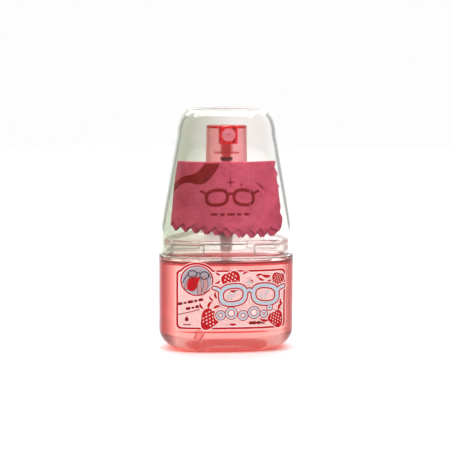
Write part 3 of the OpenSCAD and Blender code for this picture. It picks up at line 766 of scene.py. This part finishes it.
def on_bottle(name, layer, loops, holes, material):
    """One colour of the label's print; later layers lie over earlier ones."""
    low = 0.145 + 0.014 * layer
    printed(name, loops, holes, on_label, low, low + 0.012, MAT[material], "bottle")


def label_outline(inset):
    """The label's panel and its round tab, drawn in from the edge."""
    x0, y0, x1, y1 = LABEL
    cx, cy, rx, ry = TAB
    panel = panel_loop(x0 + inset, y0 + inset, x1 - inset, y1 - inset, 1.6 - inset * 0.5)
    return [panel, circle_loop(cx, cy, rx - inset, ry - inset, 72)]


def spin(points, angle, cx=0.0, cy=0.0):
    """Points turned by an angle in degrees and moved."""
    c, s = math.cos(math.radians(angle)), math.sin(math.radians(angle))
    p = np.asarray(points, float)
    return np.stack([cx + p[:, 0] * c - p[:, 1] * s, cy + p[:, 0] * s + p[:, 1] * c], 1)


def berry(cx, cy, size, angle, grow=0.0):
    """A rounded heart-like fruit with its tip down before it is turned."""
    t = np.arange(40) * 2 * np.pi / 40
    r = 1 + 0.13 * np.cos(3 * (t + np.pi / 2)) - 0.05 * np.sin(t)
    upright = np.stack([r * np.cos(t) * size * 0.86, r * np.sin(t) * size], 1)
    return spin(upright * (1 + grow / size), angle, cx, cy)


def seeds(cx, cy, size, angle):
    """The berry's seeds, in staggered rows."""
    loops = []
    for row in range(-3, 4):
        for col in range(-3, 4):
            x, y = (col + 0.5 * (row % 2)) * size * 0.36, row * size * 0.27
            if (x / (size * 0.72)) ** 2 + (y / (size * 0.86)) ** 2 < 0.95 - 0.25 * (y < 0) * abs(x) / size:
                tip = spin(circle_loop(0, 0, size * 0.055, size * 0.095, 8), 12 * col)
                loops.append(spin(tip + (x, y), angle, cx, cy))
    return loops


def leaf(cx, cy, length, angle, grow=0.0):
    t = np.linspace(0, 1, 9)
    w = 0.3 * length * np.sin(np.pi * t ** 0.8) + 0.04
    rib = np.stack([t * length, 0.15 * length * np.sin(np.pi * t)], 1)
    return ribbon(spin(rib, angle, cx, cy), w, grow)


def sparkle(cx, cy, size, grow=0.0):
    """A star with four long points."""
    t = np.arange(16) * np.pi / 8
    r = np.tile([1.0, 0.3, 0.2, 0.3], 4) * size + grow
    return np.stack([cx + r * np.cos(t) * 0.72, cy + r * np.sin(t)], 1)


def spectacles(cx, cy, size, weight, grow=0.0):
    """Front view of spectacles, as loops and holes: two rims, a bridge and the ends of the arms."""
    lx, rx, ry = 0.56 * size, 0.42 * size, 0.31 * size
    t = np.arange(56) * 2 * np.pi / 56
    loops, holes = [], []
    for side in (-1, 1):
        rim_x, rim_y = oval(1.0, 1.0, 2.5, t)
        tilt = 0.03 * size * side * rim_x
        for r, into in ((weight / 2 + grow, loops), (-weight / 2 - grow, holes)):
            into.append(np.stack([cx + side * lx + rim_x * (rx + r), cy + rim_y * (ry + r) - tilt], 1))
        arm = [(side * (lx + rx + out * size), up * size) for out, up in ((0, 0.1), (0.1, 0.2), (0.24, 0.25))]
        loops.append(ribbon(curve(np.array(arm) + (cx, cy)), weight * 0.8, grow))
    bridge = [(-lx + rx - 0.03 * size, 0.06 * size), (0, 0.17 * size), (lx - rx + 0.03 * size, 0.06 * size)]
    loops.append(ribbon(curve(np.array(bridge) + (cx, cy)), weight * 0.8, grow))
    return loops, holes


BERRIES = [(0.6, 27.2, 3.9, 20), (-7.2, 13.4, 3.9, -30), (17.2, 12.9, 3.2, 25), (17.9, 27.4, 2.7, -15)]
LEAVES = [(-3.2, 29.4, 2.4, 150), (-3.4, 27.4, 2.6, 205), (4.6, 29.4, 2.6, 20), (-7.8, 17.0, 3.4, 60),
          (-6.0, 17.0, 3.2, 15), (-9.4, 16.9, 2.8, 120), (-4.2, 14.4, 3.2, -20), (15.2, 28.8, 3.8, 170),
          (15.4, 27.4, 3.6, 195), (16.8, 15.8, 3.8, 110), (18.2, 15.6, 3.6, 60), (19.6, 17.6, 2.8, 100),
          (14.4, 12.4, 3.6, 165), (12.8, 27.2, 3.0, 150), (9.4, 28.6, 3.0, 10), (6.4, 27.2, 2.6, -15),
          (-4.6, 20.6, 3.0, 100), (-5.8, 20.0, 2.6, 130), (2.6, 11.4, 3.0, 175)]


BUBBLES = [(-3.3, 14.6, 1.6), (0.6, 15.3, 2.1), (4.9, 14.4, 1.7), (8.9, 15.4, 2.1), (12.6, 14.8, 1.3),
           (14.8, 17.0, 1.0)]
STARS = [(7.1, 26.6, 1.9), (17.9, 20.6, 1.3), (-3.2, 18.4, 1.2)]


def bubbles(grow):
    return [circle_loop(x, y, r + grow) for x, y, r in BUBBLES]


def stars(grow=0.0):
    return [sparkle(*s, grow=grow) for s in STARS]


def build_artwork():
    """Berries and leaves, with spectacles, bubbles and stars over them."""
    keyline = [berry(*b, grow=0.35) for b in BERRIES] + [leaf(*l, grow=0.28) for l in LEAVES]
    on_bottle("label_fruit_keyline", 3, keyline, [], "ink_white")
    on_bottle("label_fruit", 4, [berry(*b) for b in BERRIES] + [leaf(*l) for l in LEAVES], [], "ink_red")
    on_bottle("label_fruit_seeds", 5, sum((seeds(*b) for b in BERRIES), []), [], "ink_white")

    def glasses(grow=0.0):
        return spectacles(7.2, 22.0, 10.6, 1.3, grow)

    on_bottle("label_mark_keyline_1", 6, *glasses(0.8), "ink_white")
    on_bottle("label_mark_keyline_2", 6, bubbles(0.7) + stars(0.45), [], "ink_white")
    on_bottle("label_mark_outline", 7, *glasses(0.5), "ink_red")
    on_bottle("label_bubble_outline", 7, bubbles(0.35) + stars(0.2),
              [circle_loop(x, y, r - 1.05) for x, y, r in BUBBLES if r > 1.2], "ink_red")
    on_bottle("label_mark", 8, *glasses(), "ink_silver")
    glints = [[(0.4, 20.8), (2.4, 23.4)], [(-1.0, 21.0), (0.0, 22.4)],
              [(12.4, 20.8), (14.4, 23.4)], [(11.0, 21.0), (12.0, 22.4)]]
    on_bottle("label_bubbles", 8, bubbles(0) + stars() + [ribbon(g, 0.5) for g in glints], bubbles(-0.75),
              "ink_silver")


def build_picture():
    """The round tab's picture: fingers that wipe a pair of spectacles with a red cloth."""
    cx, cy, rx, ry = PICTURE

    def disc(inset):
        return [circle_loop(cx, cy, rx - inset, ry - inset, 72)]

    on_bottle("picture_ring", 3, disc(0), disc(0.5), "ink_red")
    on_bottle("picture_rim", 3, disc(0.5), disc(0.8), "ink_silver")
    on_bottle("picture_ground", 3, disc(0.8), [], "ink_grey")
    fingers = [curve(p) for p in ([(-15.6, 24.6), (-14.6, 27.0), (-13.0, 28.6)],
                                  [(-9.2, 23.6), (-8.6, 26.0), (-9.4, 28.2)],
                                  [(-11.0, 22.8), (-10.9, 25.2), (-11.4, 27.6)])]
    on_bottle("picture_hand_outline", 4, [ribbon(p, 1.3, 0.16) for p in fingers], [], "ink_dark")
    on_bottle("picture_hand", 5, [ribbon(p, 1.3) for p in fingers], [], "ink_skin")
    cloth = curve([(-15.4, 26.2), (-14.6, 28.0), (-12.6, 28.4), (-10.8, 28.6), (-11.4, 26.6), (-12.0, 24.6),
                   (-13.6, 23.4), (-15.2, 24.2), (-15.4, 26.2)], 6)
    on_bottle("picture_cloth", 6, [cloth[:-1]], [], "ink_red")
    lenses = [circle_loop(-9.2, 29.2, 1.75, 1.55, 32), circle_loop(-13.4, 29.7, 1.7, 1.4, 32)]
    insides = [circle_loop(-9.2, 29.2, 1.4, 1.2, 32), circle_loop(-13.4, 29.7, 1.35, 1.05, 32)]
    strokes = [ribbon(curve(path, 4), width) for path, width in (
        ([(-11.8, 29.9), (-11.3, 30.3), (-10.8, 29.8)], 0.3), ([(-7.6, 29.8), (-6.9, 28.4)], 0.3),
        ([(-15.0, 29.6), (-16.2, 28.0), (-16.9, 26.4)], 0.3), ([(-12.4, 25.2), (-12.9, 26.6)], 0.22))]
    on_bottle("picture_lines", 7, lenses + strokes, insides, "ink_dark")


def build_small_marks():
    """A rule, rows of dashes, and a drop in the lower left corner."""
    small = [ribbon([(-18.4, 14.7), (-11.0, 16.7)], 0.28)]
    for x0, x1, y in ((-18.2, -9.4, 18.6), (-15.4, -9.8, 16.95)):
        x, k = x0, 0
        while x < x1:
            w = (0.8, 0.35, 1.1, 0.5)[k % 4]
            rise = 0.22 * (x - x0)
            small.append(ribbon([(x, y + rise), (x + w, y + rise + 0.22 * w)], 1.0 - 0.25 * (k % 2)))
            x += w + 1.15
            k += 1
    small += [ribbon([(x, 11.1), (x + 0.3, 11.1)], 0.4) for x in (-16.6, -15.9, -15.2, -14.5)]
    small.append(np.concatenate([arc(-15.5, 13.0, 0.7, 0.7, 150, 390, 14), [(-15.5, 14.3)]]))
    small += [ribbon([(x, 11.6), (x + 0.6, 11.6)], 1.1) for x in (7.6, 8.8, 10.4, 12.0)]
    on_bottle("label_small_marks", 3, small, [], "ink_deep")


def build_label():
    film_piece = printed("front_label_film", label_outline(0.0), [], on_label, 0.02, 0.14, MAT["film"],
                         "bottle")
    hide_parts("front_label")
    on_bottle("label_ground", 0, label_outline(0.5), [], "tint")
    on_bottle("label_keyline", 1, label_outline(0.0), label_outline(1.25), "ink_white")
    on_bottle("label_frame", 2, label_outline(0.2), label_outline(0.9), "ink_red")
    build_artwork()
    build_picture()
    build_small_marks()


build_label()


# ---- microfibre cloth
CLOTH_TOP = 69.8
CLOTH_W, CLOTH_H = 43.0, 21.5   # the folded size, without the teeth
LAYER, THICK = 0.44, 0.26
TOOTH, BITE = 4.3, 2.0          # pitch and depth of the pinked teeth
SKEW = 0.0038                   # slope of the lower edge
RIGHT_EXTRA, LOW_EXTRA = 1.3, 1.35      # how far the back layers reach past the front ones
BACK_SLIP = -0.05
FRONT_SLIP = -0.10              # the front layers lie slightly askew
CLOTH_MIDDLE = 22.3             # how far the left fold lies from the bottle's middle, along the wall


def wall_tables():
    """For heights up the overcap: the angle round its oval against the distance along the wall."""
    heights = np.linspace(40, 72, 33)
    t = np.linspace(np.pi, 2 * np.pi, 1501)
    tables = []
    for z in heights:
        a, b = cap_half(z, CAP_WALL + 0.2)
        x, y = oval(float(a), float(b), SQUARE, t)
        s = np.concatenate([[0], np.cumsum(np.hypot(np.diff(x), np.diff(y)))])
        tables.append(s - np.interp(1.5 * np.pi, t, s))
    return heights, t, tables


WALL_Z, WALL_T, WALL_S = wall_tables()


def on_wall(s, z, depth):
    """The point at a distance s round the overcap's inside front, at height z and a depth from the wall."""
    k = np.clip((z - WALL_Z[0]) / (WALL_Z[1] - WALL_Z[0]), 0, len(WALL_Z) - 1.001)
    low = k.astype(int)
    t = np.empty_like(s)
    for row in np.unique(low):
        pick = low == row
        f = k[pick] - row
        below, above = (np.interp(s[pick], WALL_S[r], WALL_T) for r in (row, row + 1))
        t[pick] = below * (1 - f) + above * f
    a, b = cap_half(z, CAP_WALL + 0.2)
    x, y = oval(a, b, SQUARE, t)
    nx = np.sign(x) * np.abs(x / a) ** (SQUARE - 1) / a
    ny = np.sign(y) * np.abs(y / b) ** (SQUARE - 1) / b
    size = np.hypot(nx, ny)
    return np.stack([x - depth * nx / size, y - depth * ny / size, z], 1)


def bend(distance, radius):
    """How far along and how far across a sheet has gone at a distance from the middle of its fold."""
    angle = np.clip(distance / radius, -np.pi / 2, np.pi / 2)
    beyond = np.maximum(np.abs(distance) - np.pi / 2 * radius, 0)
    return beyond - radius * np.cos(angle), np.sin(angle)


def sag(x, z):
    """Soft hollows of the folded cloth, away from the wall: only a little where the collar is close."""
    room = 0.35 + 0.65 * np.clip((np.abs(x) - 7) / 6, 0, 1)
    hollow = 0.15 * (1 + np.sin(0.31 * x + 0.12 * z + 0.6)) + 0.08 * (1 + np.sin(0.55 * x - 0.33 * z))
    ridge_line = 0.3 * np.exp(-((x - 8.6 + 0.03 * (z - 56)) / 0.9) ** 2)
    along, across = (x - 12.2) * 0.8 - (z - 60.4) * 0.6, (x - 12.2) * 0.6 + (z - 60.4) * 0.8
    crease = 0.9 * np.exp(-(along / 2.2) ** 2 - (across / 0.55) ** 2)
    chord = np.clip((x - 7.5) / 14.5, 0, 1)         # the free edge is too stiff to follow the wall round
    corner = 6.4 * chord * (1 - chord)
    return room * hollow + ridge_line * 0.5 + crease + corner


def lean(run):
    """How much longer the drop is at a distance from the fold: the lower edge runs down, then up."""
    return 1 + SKEW * (run - 0.08 * np.maximum(run - 28, 0) ** 2)


def cloth_point(u, v, lift=0.0):
    """The middle of the cloth's thickness, from flat coordinates where the two folds cross at 0, 0."""
    drop, second = bend(v, LAYER / 2)
    radius = LAYER * (1 - 0.5 * second)
    run, first = bend(u, radius)
    run, drop = run + 1.5 * LAYER, drop + LAYER / 2
    depth = 1.5 * LAYER - radius * first + THICK / 2
    slip = np.where(first > 0, FRONT_SLIP, BACK_SLIP) * drop * np.clip(run / 20, 0, 1)
    s = run + slip - CLOTH_MIDDLE
    z = CLOTH_TOP - drop * lean(run)
    return on_wall(s, z, depth + sag(s, z) - lift)


def tooth(distance, phase=0.0):
    """Height of the zigzag edge, from 0 at a notch to 1 at a tip."""
    return np.abs(((distance / TOOTH + phase) % 1.0) * 2 - 1)


def cloth_sheet():
    """A grid over the flat cloth, finer at its folds and pulled out into teeth at its edges."""
    step = TOOTH / 12
    nu, nv = int(round(CLOTH_W / step)), int(round(CLOTH_H / step))

    def steps(count):
        side = np.concatenate([[0.12, 0.25, 0.4], np.arange(1, count + 1) * step])
        return np.concatenate([-side[::-1], [0], side])

    u, v = np.meshgrid(steps(nu), steps(nv), indexing="ij")
    edge_u = np.clip((np.abs(u) - (nu * step - 2)) / 2, 0, 1)
    edge_v = np.clip((np.abs(v) - (nv * step - 2)) / 2, 0, 1)
    du = edge_u * (BITE * tooth(v, 0.5 * (u < 0)) + RIGHT_EXTRA * (u < 0))
    dv = edge_v * (BITE * tooth(u, 0.5 * (v > 0)) + LOW_EXTRA * (v > 0))
    return u + np.sign(u) * du, v + np.sign(v) * dv


def build_cloth():
    u, v = cloth_sheet()
    rows, cols = u.shape
    middle = cloth_point(u.ravel(), v.ravel()).reshape(rows, cols, 3)
    normal = np.cross(np.gradient(middle, axis=0), np.gradient(middle, axis=1))
    normal /= np.linalg.norm(normal, axis=2)[:, :, None]
    front, back = middle + normal * THICK / 2, middle - normal * THICK / 2
    n = rows * cols
    index = np.arange(n).reshape(rows, cols)
    a, b, c, d = index[:-1, :-1], index[1:, :-1], index[1:, 1:], index[:-1, 1:]
    quads = np.stack([a, b, c, d], -1).reshape(-1, 4)
    border = np.concatenate([index[:, 0], index[-1, 1:], index[-2::-1, -1], index[0, -2:0:-1]])
    nxt = np.roll(border, -1)
    sides = np.stack([nxt, border, border + n, nxt + n], 1)
    faces = np.concatenate([quads, quads[:, ::-1] + n, sides]).tolist()
    verts = np.concatenate([front.reshape(-1, 3), back.reshape(-1, 3)])
    # the side faces get the material with the painted edge shade
    cut = [0] * (2 * len(quads)) + [1] * len(sides)
    piece = make("microfibre_sheet", verts, faces, [MAT["cloth"], MAT["edge_shade"]], "overcap",
                 cut, 60)
    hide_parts("microfibre_cloth")

    def on_cloth(points, lift):
        """Print on the outermost layer: distance right of the middle, and height."""
        run = points[:, 0] + CLOTH_MIDDLE
        drop = (CLOTH_TOP - points[:, 1]) / lean(run)
        slip = FRONT_SLIP * np.clip(run / 20, 0, 1) * drop / np.maximum(run, 20)
        round_fold = np.pi / 2 - 1      # how much longer the sheet is than its fold is deep, in radii
        uu = run / (1 + slip) + 1.5 * LAYER * round_fold
        vv = -(drop + LAYER / 2 * round_fold)
        return cloth_point(uu, vv, THICK / 2 + lift)

    def dyed(name, loops, holes=()):
        return printed(name, loops, list(holes), on_cloth, 0.0, 0.03, MAT["dye"], "overcap")

    band = [curve([(-21.6, 61.4), (-19.6, 63.0), (-17.0, 64.4), (-14.0, 65.2), (-11.8, 66.0), (-9.8, 68.0),
                   (-8.9, 69.35)]),
            curve([(-3.4, 69.35), (-4.6, 67.0), (-6.6, 64.2), (-9.0, 62.2), (-11.6, 61.8), (-14.8, 62.4),
                   (-18.0, 61.4), (-20.6, 59.2), (-21.6, 58.4)])]
    glasses, lens_holes = spectacles(0.4, 57.2, 8.6, 1.15)
    cloth_stars = [sparkle(0.4, 62.6, 2.3), sparkle(4.4, 61.8, 1.3)]
    dashes = ((-6.2, 1.6), (-2.9, 0.6), (-0.6, 1.9), (3.0, 0.8), (5.5, 1.2))
    prints = [dyed("cloth_band", [np.concatenate(band)]),
              dyed("cloth_mark", glasses + cloth_stars, lens_holes),
              dyed("cloth_dashes", [ribbon([(x, 51.2), (x + w, 51.2)], 0.9) for x, w in dashes])]


build_cloth()

# ---- stage, light and camera
scene = bpy.context.scene


def build_stage():
    m = Nodes("studio_floor")
    grain = m.noise(14, 3)
    body = m.mix(grain, (0.9, 0.9, 0.9, 1), (0.94, 0.94, 0.94, 1))
    m.finish(m.shader(Base_Color=body, Roughness=0.6))
    t = np.arange(96) * 2 * np.pi / 96
    verts = np.stack([1.6 * np.cos(t), 1.6 * np.sin(t), np.zeros(96)], 1)
    mesh = bpy.data.meshes.new("studio_floor")
    mesh.from_pydata(verts.tolist(), [], [list(range(96))])
    mesh.materials.append(m.material)
    floor = bpy.data.objects.new("studio_floor", mesh)
    scene.collection.objects.link(floor)


def stand(obj, place, turn):
    obj.location = place
    obj.rotation_mode = "QUATERNION"
    obj.rotation_quaternion = turn
    scene.collection.objects.link(obj)


def area_light(name, place, target, size, power):
    data = bpy.data.lights.new(name, "AREA")
    data.shape = "RECTANGLE"
    data.size, data.size_y = size
    data.energy = power
    lamp = bpy.data.objects.new(name, data)
    stand(lamp, place, (Vector(target) - Vector(place)).to_track_quat("-Z", "Y"))


def build_world():
    """A white backdrop and ceiling, a darker room behind the camera, and darker side walls."""
    w = Nodes("studio", "World")
    scene.world = w.material
    x, y, _ = w.place(w.add("ShaderNodeTexCoord").outputs["Generated"])
    by_side = [(0.36, 1.0), (0.56, 0.55), (0.85, 0.4)]
    by_depth = [(-0.9, 0.22), (-0.35, 0.3), (-0.05, 1.0)]
    shades = []
    for value, bands in ((w.size(x), by_side), (y, by_depth)):
        node = w.add("ShaderNodeFloatCurve", Value=value)
        node.mapping.use_clip = False
        points = node.mapping.curves[0].points
        points[0].location, points[1].location = bands[0], bands[-1]
        points.new(*bands[1])
        node.mapping.extend = "HORIZONTAL"
        node.mapping.update()
        shades.append(node.outputs[0])
    light = w.add("ShaderNodeBackground", Color=w.math("MULTIPLY", *shades))
    w.link(light.outputs[0], w.out.inputs["Surface"])


def build_camera():
    data = bpy.data.cameras.new("camera")
    data.lens = 95
    data.sensor_width = 36
    data.clip_start, data.clip_end = 0.01, 10
    data.shift_y = 0.00154867
    camera = bpy.data.objects.new("camera", data)
    place, aim = Vector((-0.04599, -0.4376, 0.096)), Vector((0, 0, 0.04528))
    look = (aim - place).to_track_quat("-Z", "Y").to_matrix().to_4x4()
    roll = Matrix.Rotation(math.radians(0.27), 4, "Z")
    stand(camera, place, (look @ roll).to_quaternion())
    scene.camera = camera


build_stage()
area_light("softbox", (-0.1, -0.5, 1.2), (0, 0, 0.05), (1.6, 0.4), 17.0)
area_light("back", (0.0, 1.0, 1.1), (0, 1.0, 0), (2.2, 1.4), 16.0)
build_world()
build_camera()
scene.view_settings.view_transform = "Standard"
cycles = scene.cycles
cycles.max_bounces = cycles.transmission_bounces = cycles.glossy_bounces = 64
cycles.transparent_max_bounces = 24
